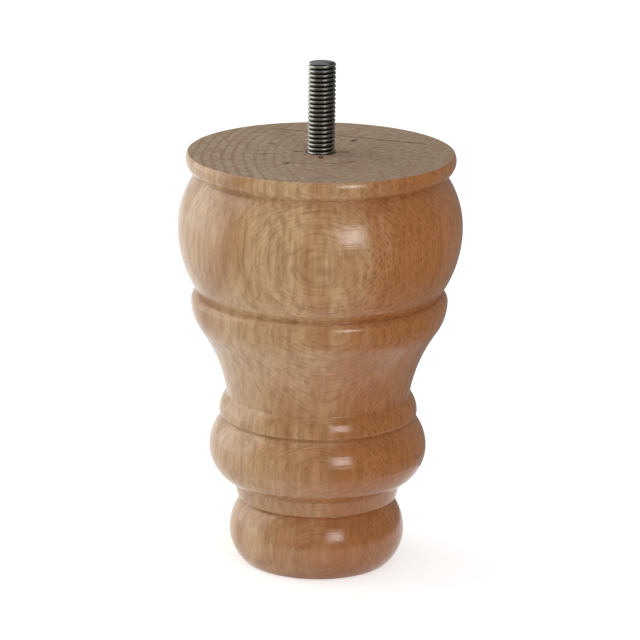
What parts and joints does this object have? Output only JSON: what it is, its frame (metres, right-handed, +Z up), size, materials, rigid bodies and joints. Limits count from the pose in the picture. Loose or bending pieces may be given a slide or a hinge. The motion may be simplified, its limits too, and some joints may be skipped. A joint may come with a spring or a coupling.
{
  "type": "wooden furniture foot",
  "caption": "Turned beech furniture foot with a round belly, a waisted lower body and a bun base, and a threaded steel stud standing out of its flat top.",
  "frame": {"origin": "centre of the flat base, where the foot meets the floor", "axes": "+Z up along the turning axis, towards the stud; X and Y are free, and the pictured front looks along +Y"},
  "size_m": [0.082, 0.082, 0.148],
  "materials": {
    "lacquered_beech": "clear gloss lacquer on the turned surface, bare end grain on top",
    "stud_steel": "bare rolled thread, slightly dark"
  },
  "bodies": {
    "root": {"turned_foot": "lacquered_beech", "threaded_stud": "stud_steel"}
  },
  "joints": []
}
